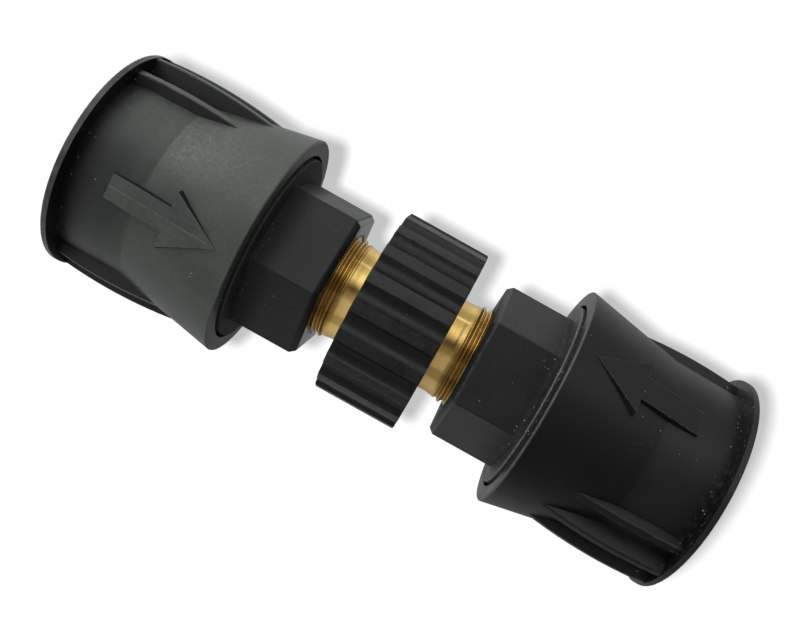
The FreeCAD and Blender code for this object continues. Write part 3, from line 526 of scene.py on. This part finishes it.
def makeBrass():
    # polished neck above, tarnished and pitted below; the thread is duller, but bare metal all round; bands
    # of painted reflection darken it round the axis
    look, fade, broken = brassLook, brassFade, brassBreak
    material, tree, shader, place = newMaterial("turnedBrass")
    cloudy = noise(tree, place, *brassGrain["cloudy"])
    rings = noise(tree, stretch(tree, place, look["ringStretch"]), *brassGrain["rings"])
    xyz = addNode(tree, "SeparateXYZ", {0: place}).outputs
    turn = calc(tree, "ARCTAN2", xyz[0], calc(tree, "MULTIPLY", xyz[1], -1.0))
    wander = calc(tree, "MULTIPLY_ADD", calc(tree, "SUBTRACT", cloudy, 0.5), look["wander"], turn)
    # painted reflection: bands of darker colour by angle round the axis, wandering a little
    reflectionLevel = levelsRound(tree, ramp(tree, wander, -math.pi, math.pi, 0.0, 1.0, False), brassReflectionBands)
    height = calc(tree, "MULTIPLY_ADD", calc(tree, "SUBTRACT", cloudy, 0.5), look["wanderHeight"], xyz[0])
    below = ramp(tree, height, *fade["below"])
    along = calc(tree, "ABSOLUTE", calc(tree, "SUBTRACT", xyz[2], middle))
    threaded = fadeNear(tree, along, look["thread"], fade["thread"])
    stain = times(tree, ramp(tree, cloudy, *broken["stain"]), ramp(tree, rings, *broken["stainRings"]))
    stain = calc(tree, "MULTIPLY", stain, look["stain"])
    stain = calc(tree, "MULTIPLY_ADD", threaded, look["threadStain"], stain)
    radius = fromAxis(tree, place)
    # darker in the thread's roots, below the crests
    rootDarkening = times(tree, fadeNear(tree, along, look["thread"], fade["rootDarkening"]),
                  ramp(tree, radius, look["crest"], look["groove"]), look["rootDarkening"])
    color = blendColor(tree, below, look["bright"], look["patina"])
    color = blendColor(tree, reflectionLevel, look["dark"], color)
    color = blendColor(tree, stain, color, look["dull"])
    color = blendColor(tree, rootDarkening, color, look["dark"])
    pits = specks(tree, place, *brassMarks["pits"], ramp(tree, below, 0.0, 1.0, *look["pitShare"]))
    color = blendColor(tree, calc(tree, "MULTIPLY", pits, look["pits"]), color, look["pit"])
    smooth = ramp(tree, cloudy, *broken["smooth"], *look["polished"])
    rough = ramp(tree, cloudy, *broken["smooth"], *look["tarnished"])
    threadRough = calc(tree, "MULTIPLY", threaded, look["threadRough"])
    roughness = blend(tree, calc(tree, "MAXIMUM", below, threadRough), smooth, rough)
    metal = blend(tree, threaded, ramp(tree, below, 0.0, 1.0, *look["metal"], False), look["threadMetal"])
    setShader(tree, shader, color=color, roughness=roughness, metal=metal,
              normal=bumped(tree, rings, *look["bump"]))
    return material


steelLook = {"spring": ((0.42, 0.42, 0.43, 1), 0.28), "bright": ((0.66, 0.66, 0.67, 1), 0.2),
             "cloudy": (500.0, 3.0, 0.6), "stain": (0.35, 0.75, 0.0, 0.5), "stained": 0.6,
             "lines": (6000.0, 2.0, 0.6), "lineStretch": (1, 1, 0.1), "shine": (0.3, 0.7), "lineRough": 0.15,
             "bump": (0.000008, 0.4)}


def makeSteel(name, color, roughness):
    # cloudy stains, and drawn lines that change the roughness
    look = steelLook
    material, tree, shader, place = newMaterial(name)
    cloudy = noise(tree, place, *look["cloudy"])
    lines = noise(tree, stretch(tree, place, look["lineStretch"]), *look["lines"])
    stained = tuple(look["stained"] * part for part in color[:3]) + (1,)
    shade = blendColor(tree, ramp(tree, cloudy, *look["stain"]), color, stained)
    shine = ramp(tree, lines, *look["shine"], roughness, roughness + look["lineRough"])
    setShader(tree, shader, color=shade, roughness=shine, metal=1.0,
              normal=bumped(tree, lines, *look["bump"]))
    return material


sealLook = {"rubber": (grey(0.012), grey(0.022), 0.45),
            "backup": ((0.72, 0.71, 0.66, 1), (0.8, 0.79, 0.75, 1), 0.4),
            "cloudy": (700.0, 3.0, 0.6), "tones": (0.3, 0.7), "tooth": 5000.0, "moreRough": 0.1,
            "bump": (0.00002, 0.4)}


def makeSeal(name, color, pale, roughness):
    # two cloudy tones, the paler one rougher
    look = sealLook
    material, tree, shader, place = newMaterial(name)
    cloudy = noise(tree, place, *look["cloudy"])
    shade = blendColor(tree, ramp(tree, cloudy, *look["tones"]), color, pale)
    shine = ramp(tree, cloudy, *look["tones"], roughness, roughness + look["moreRough"])
    setShader(tree, shader, color=shade, roughness=shine,
              normal=bumped(tree, noise(tree, place, look["tooth"]), *look["bump"]))
    return material


finishes = {
    "grip": makeGripPlastic(),
    "brass": makeBrass(),
    "spring": makeSteel("springWire", *steelLook["spring"]),
    "steel": makeSteel("groundSteel", *steelLook["bright"]),
    "rubber": makeSeal("sealRubber", *sealLook["rubber"]),
    "backup": makeSeal("backupPlastic", *sealLook["backup"]),
}
nodeFinish = {"socket_core": "brass", "stop_washer": "steel", "retaining_ring": "spring",
              "socket_seal": "rubber", "nose_seal": "rubber", "backup_ring": "backup"}
ballCount = 6


def dress(node, material):
    node.data.materials.clear()
    node.data.materials.append(material)


dress(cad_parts["grip_ring"], finishes["grip"])
for side in sides:
    dress(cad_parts[side + "_collar"], makeCollarPlastic(side))
    dress(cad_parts[side + "_hex_body"], makeHexPlastic(side))
    for name, finish in nodeFinish.items():
        dress(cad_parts[f"{side}_{name}"], finishes[finish])
    for number in range(1, ballCount + 1):
        dress(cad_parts[f"{side}_ball_{number}"], finishes["steel"])
print("finishes on the CAD nodes")

weldReach = 1e-7  # metres


def addPiece(name, points, faces, material, body):
    # mesh from points in millimetres, measured from the mid-plane; doubled points are welded
    # and faces turned outwards
    mesh = bpy.data.meshes.new(name)
    mesh.from_pydata(points / 1000 + np.array([0, 0, middle]), [], faces)
    work = bmesh.new()
    work.from_mesh(mesh)
    bmesh.ops.remove_doubles(work, verts=work.verts, dist=weldReach)
    bmesh.ops.dissolve_degenerate(work, edges=work.edges, dist=weldReach)
    bmesh.ops.recalc_face_normals(work, faces=work.faces)
    work.to_mesh(mesh)
    work.free()
    mesh.shade_smooth()
    mesh.materials.append(material)
    piece = bpy.data.objects.new(name, mesh)
    scene.collection.objects.link(piece)
    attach(piece, body)
    return piece


def gridFaces(rows, columns, first=0):
    # one four-sided face between each two rows and two columns of points
    index = first + np.arange(rows * columns).reshape(rows, columns)
    quads = np.stack([index[:-1, :-1], index[:-1, 1:], index[1:, 1:], index[1:, :-1]], -1)
    return quads.reshape(-1, 4).tolist()


# millimetres from the mid-plane; turn, flank and sharp in degrees, phase in turns for each side
nippleSize = {
    "crest": 10.95, "depth": 0.72, "pitch": 1.5, "crestFlat": 0.3, "flank": 30, "phase": {1: 0.02, -1: 0.52},
    "neck": 10.2, "neckFlare": 0.2, "neckStart": 8.0, "waist": 10.8, "firstCrest": 12.5,
    "threadStart": 12.3, "full": 13.6, "end": 25.9, "leadIn": 0.9, "leadSlope": 1.2,
    "hexFlats": 23.0, "hexHalf": 7.0, "turn": 4.1,
    "seat": 7.1, "seatChamfer": 0.25, "seatFloor": 11.5, "flow": 4.0,
    "columns": 180, "rowsPerPitch": 12, "neckRows": 18, "sharp": 65,
}


def ringRows(place, radius, angle):
    # points of rings at the given places; radius is one number a row, or rows by columns
    radius = radius if np.ndim(radius) == 2 else np.asarray(radius)[:, None]
    radius = np.broadcast_to(radius, (len(place), len(angle)))
    height = np.broadcast_to(np.asarray(place)[:, None], radius.shape)
    return np.stack([radius * np.cos(angle), radius * np.sin(angle), height], -1)


def easeIn(place, low, high):
    # 0 before low and 1 after high, smooth between: three times its square less twice its cube
    share = np.clip((place - low) / (high - low), 0, 1)
    return share ** 2 * (3 - 2 * share)


def neckRadius(place):
    # narrowest at the waist: it flares to the middle by the square of the way,
    # and eases up to the first crest
    s = nippleSize
    flare = np.clip((s["waist"] - place) / (s["waist"] - s["neckStart"]), 0, 1)
    return s["neck"] + s["neckFlare"] * (flare ** 2 + easeIn(place, s["waist"], s["firstCrest"]))


def threadRows(side, angle):
    # rows follow a right-hand helix, so that crests and roots are clean lines; they are clipped at the
    # thread's two ends. Radius is the crest less a flank that falls at 30 degrees on each side; it grows
    # smoothly out of the neck at the start, and the lead-in cone trims it at the end
    s = nippleSize
    rise = s["pitch"] * (angle - angle[0]) / (2 * math.pi) * side
    count = int((s["end"] - s["threadStart"]) / s["pitch"] + 3) * s["rowsPerPitch"]
    first = s["threadStart"] - s["pitch"] * (1 if side > 0 else 0)
    crestPlace = side * s["pitch"] * (angle[0] / (2 * math.pi) + 0.5 + s["phase"][side])
    first -= np.mod(first - crestPlace, s["pitch"] / s["rowsPerPitch"])
    reach = first + np.arange(count)[:, None] * s["pitch"] / s["rowsPerPitch"] + rise[None, :]
    off = np.abs(np.mod((reach - rise[None, :] - crestPlace) / s["pitch"] + 0.5, 1.0) - 0.5) * s["pitch"]
    fall = (off - s["crestFlat"] / 2) / math.tan(math.radians(s["flank"]))
    radius = s["crest"] - np.clip(fall, 0, s["depth"])
    reach = np.clip(reach, s["threadStart"], s["end"])
    neck = neckRadius(reach)
    radius = neck + (radius - neck) * easeIn(reach, s["threadStart"], s["full"])
    radius = np.minimum(radius, s["crest"] - s["leadIn"] + (s["end"] - reach) * s["leadSlope"])
    return np.stack([radius * np.cos(angle), radius * np.sin(angle), side * reach], -1)


def makeNipple():
    # four surfaces welded into one: two threads, the necks with the middle hexagon, and the bore with
    # its seats. A hexagon's radius at an angle is half its flats over the cosine of the angle to the
    # nearest flat
    s = nippleSize
    angle = math.radians(s["turn"]) + np.arange(s["columns"] + 1) * 2 * math.pi / s["columns"]
    toFlat = np.mod(angle - angle[0], math.pi / 3) - math.pi / 6
    hexRadius = (s["hexFlats"] / 2) / np.cos(toFlat)
    neckPlace = np.append(s["hexHalf"], np.linspace(s["neckStart"], s["threadStart"], s["neckRows"]))
    neck = np.outer(neckRadius(neckPlace), np.ones_like(angle))
    outerPlace = np.concatenate([-neckPlace[::-1], [-s["hexHalf"], s["hexHalf"]], neckPlace])
    outerRadius = np.concatenate([neck[::-1], [hexRadius, hexRadius], neck])
    boreHalf = np.array([(s["crest"] - s["leadIn"], s["end"]), (s["seat"] + s["seatChamfer"], s["end"]),
                         (s["seat"], s["end"] - s["seatChamfer"]), (s["seat"], s["seatFloor"]),
                         (s["flow"], s["seatFloor"])])
    boreRadius = np.append(boreHalf[:, 0], boreHalf[::-1, 0])
    borePlace = np.append(boreHalf[:, 1], -boreHalf[::-1, 1])
    parts = [threadRows(1, angle), threadRows(-1, angle), ringRows(outerPlace, outerRadius, angle),
             ringRows(borePlace, boreRadius, angle)]
    faces, points = [], []
    for part in parts:
        faces += gridFaces(part.shape[0], part.shape[1], sum(len(block) for block in points))
        points.append(part.reshape(-1, 3))
    piece = addPiece("threadedNipple", np.concatenate(points), faces, finishes["brass"], "nipple")
    piece.data.set_sharp_from_angle(angle=math.radians(s["sharp"]))
    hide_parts("brass_nipple")


# millimetres; radius to the wire's middle, wire is the wire's own radius
springSize = {"radius": 16.6, "wire": 0.7, "start": 33.85, "seatGap": 0.05, "length": 16.1, "turns": 6.5,
              "endTurn": 0.8, "endRise": 0.77, "travel": 6.0, "rows": 420, "corners": 14}


def makeSpring(side):
    # round wire carried along a helix, with a first and a last turn that rise little and an even rise between
    s = springSize
    turns = np.linspace(0, s["turns"], s["rows"])
    live = np.clip((turns - s["endTurn"]) / (s["turns"] - 2 * s["endTurn"]), 0, 1)
    ended = np.maximum(turns - s["turns"] + s["endTurn"], 0)
    flat = np.minimum(turns, s["endTurn"]) / s["endTurn"] + ended / s["endTurn"]
    rise = s["endRise"] * flat + (s["length"] - 2 * s["wire"] - 2 * s["endRise"]) * live
    height = s["start"] + s["wire"] + rise
    angle = 2 * math.pi * turns * sides[side] + math.radians(arrowTurn[side])
    section = np.arange(s["corners"] + 1) * 2 * math.pi / s["corners"]
    reach = s["radius"] + s["wire"] * np.cos(section)[None, :]
    lift = height[:, None] + s["wire"] * np.sin(section)[None, :]
    points = np.stack([reach * np.cos(angle)[:, None], reach * np.sin(angle)[:, None],
                       lift * sides[side]], -1)
    faces = gridFaces(len(turns), len(section))
    last = (len(turns) - 1) * len(section)
    faces += [list(range(len(section) - 1)), list(range(last, last + len(section) - 1))]
    piece = addPiece(side + "_spring_coil", points.reshape(-1, 3), faces, finishes["spring"],
                     side + "_coupler")
    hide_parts(side + "_release_spring")
    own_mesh(piece)


makeNipple()
for side in sides:
    makeSpring(side)
print("threaded nipple and springs made")

cameraSet = {"place": (0.0, -0.184, 0.062), "lens": 40.25, "sensor": 36.0, "roll": 29.2,
             "shift": (-0.0346, 0.0194), "clip": 0.005}
stageSet = {"behind": 0.3, "half": 0.6, "color": 0.12, "glow": 0.378, "lampOff": (-0.0063, -0.0011, 0.006),
            "lampRadius": 0.0025, "lampPower": 170.0}


def makeCamera():
    # looks straight at the connector's side, rolled about its view
    roll = math.radians(cameraSet["roll"])
    right = Vector((math.sin(roll), 0, -math.cos(roll)))
    up = Vector((math.cos(roll), 0, math.sin(roll)))
    back = right.cross(up)
    turned = Matrix((right, up, back)).transposed().to_4x4()
    data = bpy.data.cameras.new("photoCamera")
    data.lens = cameraSet["lens"]
    data.sensor_width = cameraSet["sensor"]
    data.shift_x, data.shift_y = cameraSet["shift"]
    data.clip_start = cameraSet["clip"]
    camera = bpy.data.objects.new("photoCamera", data)
    camera.matrix_world = Matrix.Translation(cameraSet["place"]) @ turned
    scene.collection.objects.link(camera)
    scene.camera = camera
    return right, up, back


def makeFloorLamp(right, up, back):
    # small lamp beside the camera that lights only the floor, without fading with distance;
    # it makes the drop shadow
    data = bpy.data.lights.new("floorLamp", "POINT")
    data.energy = stageSet["lampPower"]
    data.shadow_soft_size = stageSet["lampRadius"]
    data.use_nodes = True
    fall = addNode(data.node_tree, "LightFalloff", {"Strength": 1.0})
    data.node_tree.links.new(fall.outputs["Constant"], data.node_tree.nodes["Emission"].inputs["Strength"])
    lamp = bpy.data.objects.new("floorLamp", data)
    aside, above, behind = stageSet["lampOff"]
    lamp.location = Vector(cameraSet["place"]) + right * aside + up * above + back * behind
    scene.collection.objects.link(lamp)
    return lamp


def makeFloor():
    # pale upright sheet behind the connector that only shows and takes shadow, clear from its back
    half, depth = stageSet["half"], stageSet["behind"]
    corners = [(-half, depth, middle - half), (half, depth, middle - half),
               (half, depth, middle + half), (-half, depth, middle + half)]
    mesh = bpy.data.meshes.new("paleFloor")
    mesh.from_pydata(corners, [], [(0, 1, 2, 3)])
    floor = bpy.data.objects.new("paleFloor", mesh)
    scene.collection.objects.link(floor)
    material = bpy.data.materials.new("paleFloor")
    material.use_nodes = True
    tree = material.node_tree
    tree.nodes.clear()
    diffuse = addNode(tree, "BsdfDiffuse", {"Color": grey(stageSet["color"])})
    glow = addNode(tree, "Emission", {"Color": grey(1.0), "Strength": stageSet["glow"]})
    clear = addNode(tree, "BsdfTransparent")
    shown = addNode(tree, "AddShader", {0: diffuse.outputs[0], 1: glow.outputs[0]})
    behind = addNode(tree, "NewGeometry").outputs["Backfacing"]
    both = addNode(tree, "MixShader", {0: behind, 1: shown.outputs[0], 2: clear.outputs[0]})
    addNode(tree, "OutputMaterial", {0: both.outputs[0]})
    mesh.materials.append(material)
    floor.visible_diffuse = floor.visible_glossy = floor.visible_shadow = floor.visible_transmission = False
    return floor


# light of the room by angle round the connector's axis: 0 towards the camera, 90 above, -90 below,
# 180 behind; first as it is seen in reflections, then as it falls on dull surfaces
shownLight = {-180: 0.46, -150: 0.48, -120: 0.5, -100: 0.4, -86: 0.26, -60: 0.15, -40: 0.14, -20: 0.25,
              0: 0.4, 14: 0.5, 26: 0.7, 34: 1.15, 44: 1.15, 54: 0.75, 70: 0.55, 73: 0.48, 75: 2.6, 77: 0.45,
              88: 0.42, 98: 0.45, 110: 0.68, 122: 0.8, 140: 0.66, 155: 0.54, 180: 0.46}
softLight = {-180: 1.5, -150: 1.2, -120: 0.8, -90: 0.45, -62: 0.75, -44: 1.85, -25: 2.15, 0: 1.2, 20: 1.2,
             36: 2.0, 52: 2.1, 70: 1.5, 90: 1.1, 120: 1.2, 150: 1.4, 180: 1.5}
# tilt brightens the light from the upper end; the room is dark round the camera, by degrees from it
roomSet = {"tint": (0.965, 1.0, 0.98, 1), "tilt": 0.8, "dark": 0.25, "darkFrom": 28, "darkTo": 8}


def makeWorld():
    # white to the camera; reflections show the room, and soft light comes from all of it
    world = bpy.data.worlds.new("whiteRoom")
    world.use_nodes = True
    scene.world = world
    tree = world.node_tree
    tree.nodes.clear()
    path = addNode(tree, "LightPath").outputs
    direction = addNode(tree, "SeparateXYZ", {0: addNode(tree, "TexCoord").outputs["Generated"]}).outputs
    turn = calc(tree, "ARCTAN2", direction[0], calc(tree, "MULTIPLY", direction[1], -1.0))
    share = ramp(tree, turn, -math.pi, math.pi, 0.0, 1.0, False)
    tilted = calc(tree, "ADD", 1.0, calc(tree, "MULTIPLY", direction[2], roomSet["tilt"]))
    aside = calc(tree, "ARCCOSINE", calc(tree, "MULTIPLY", direction[1], -1.0))
    near, far = math.radians(roomSet["darkTo"]), math.radians(roomSet["darkFrom"])
    dark = ramp(tree, aside, near, far, roomSet["dark"], 1.0)
    shown = levelsRound(tree, share, shownLight)
    soft = levelsRound(tree, share, softLight)
    room = blend(tree, path["Is Diffuse Ray"], shown, soft)
    strength = calc(tree, "MAXIMUM", times(tree, room, tilted, dark), path["Is Camera Ray"])
    tint = blendColor(tree, path["Is Camera Ray"], roomSet["tint"], grey(1.0))
    light = addNode(tree, "Background", {"Color": tint, "Strength": strength})
    addNode(tree, "OutputWorld", {0: light.outputs[0]})


def linkOnly(lamp, pieces, name):
    # the lamp lights these pieces and nothing else
    group = bpy.data.collections.new(name)
    for piece in pieces:
        group.objects.link(piece)
    lamp.light_linking.receiver_collection = group


right, up, back = makeCamera()
floor = makeFloor()
makeWorld()
linkOnly(makeFloorLamp(right, up, back), [floor], "lit by floor lamp")
print("stage, camera and light set")
